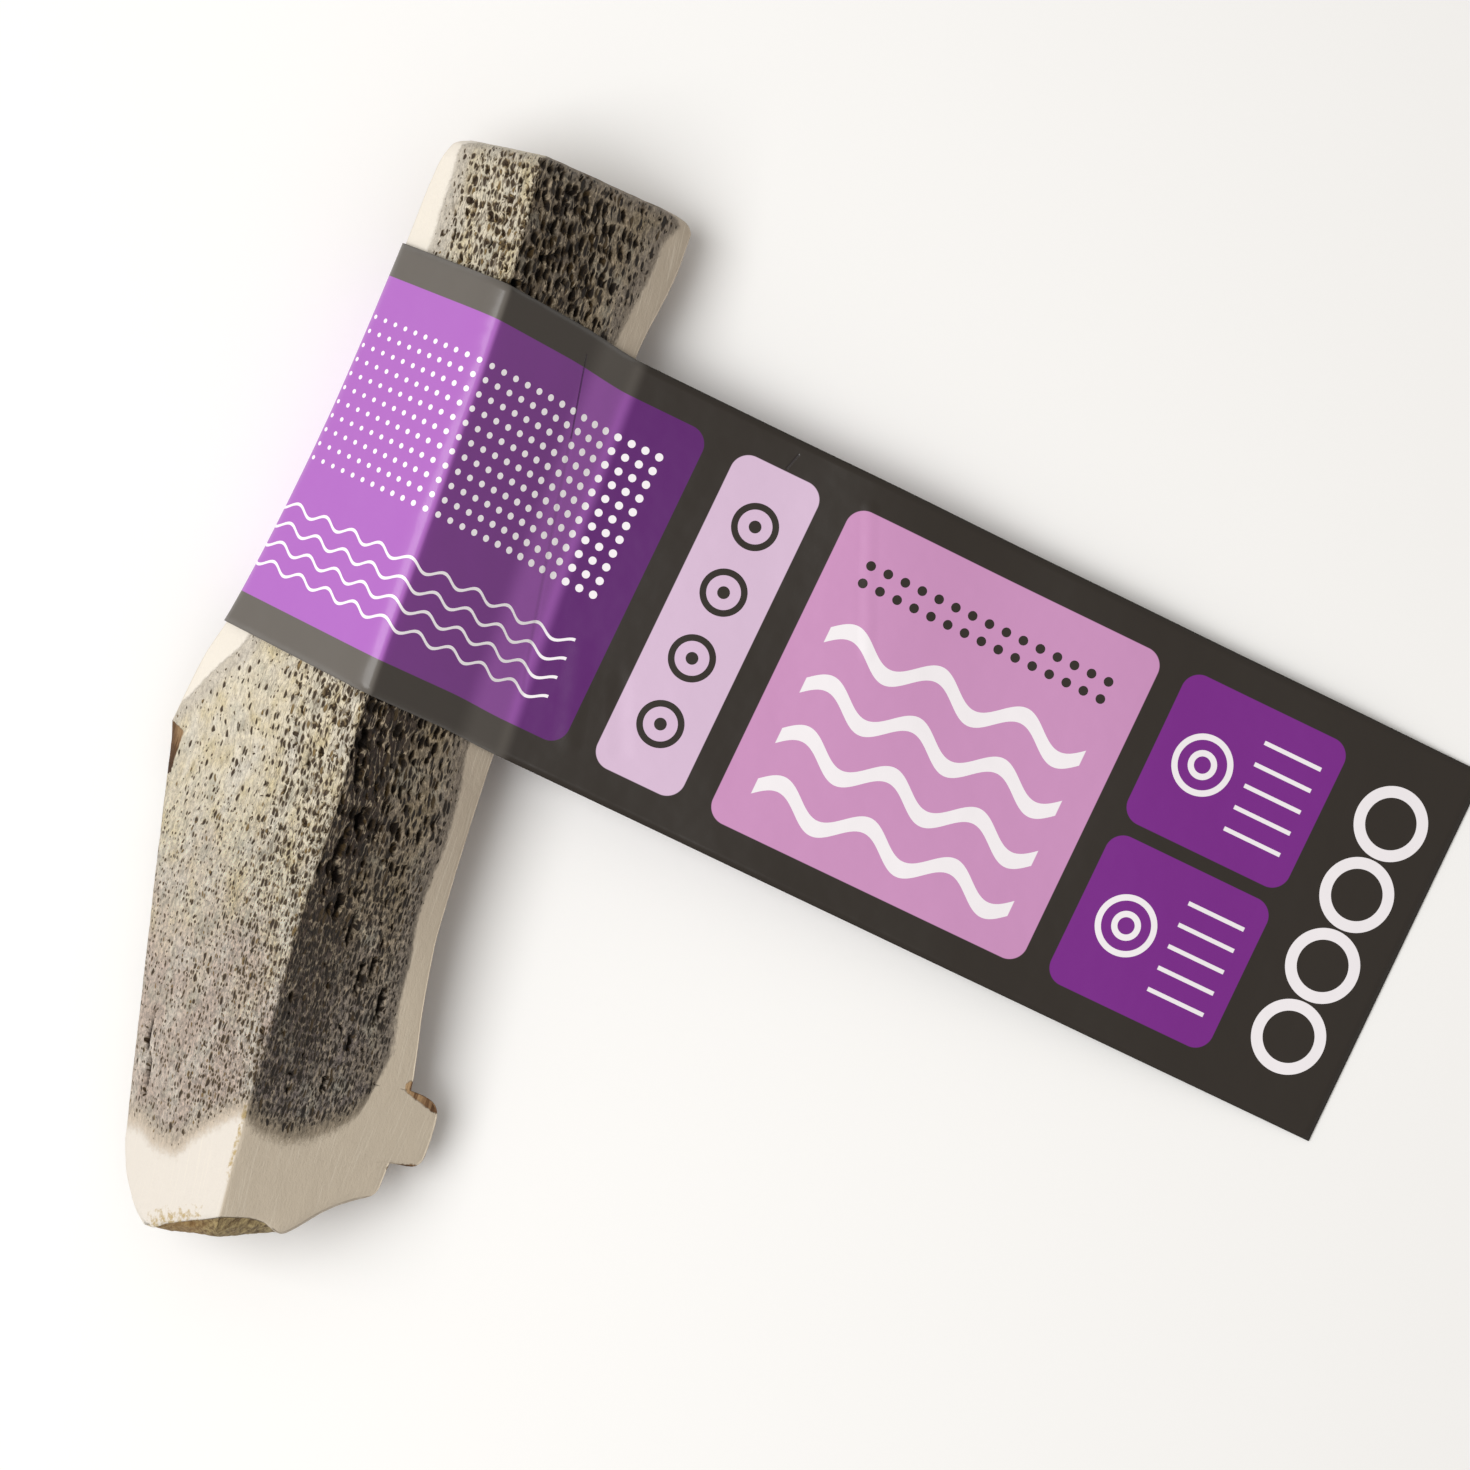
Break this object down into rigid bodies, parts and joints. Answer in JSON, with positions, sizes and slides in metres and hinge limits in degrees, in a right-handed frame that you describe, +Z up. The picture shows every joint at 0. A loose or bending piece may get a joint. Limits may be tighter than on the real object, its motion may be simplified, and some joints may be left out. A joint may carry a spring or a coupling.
{
  "type": "split reindeer antler",
  "caption": "Wedge of reindeer antler sawn lengthwise at the base of a beam, porous core on two sawn faces, with a printed film strip wrapped round it and stuck back to back as a flag.",
  "frame": {"origin": "on the table, under the middle of the whole piece's bounding box", "axes": "+Y along the antler towards its sawn upper end, +Z up through the ridge of the two sawn faces, +X towards the flag's free end"},
  "size_m": [0.1602, 0.1406, 0.0235],
  "materials": {
    "antler_bone": "matte",
    "printed_film": "satin"
  },
  "bodies": {
    "root": {"antler": "antler_bone", "label": "printed_film"}
  },
  "joints": []
}
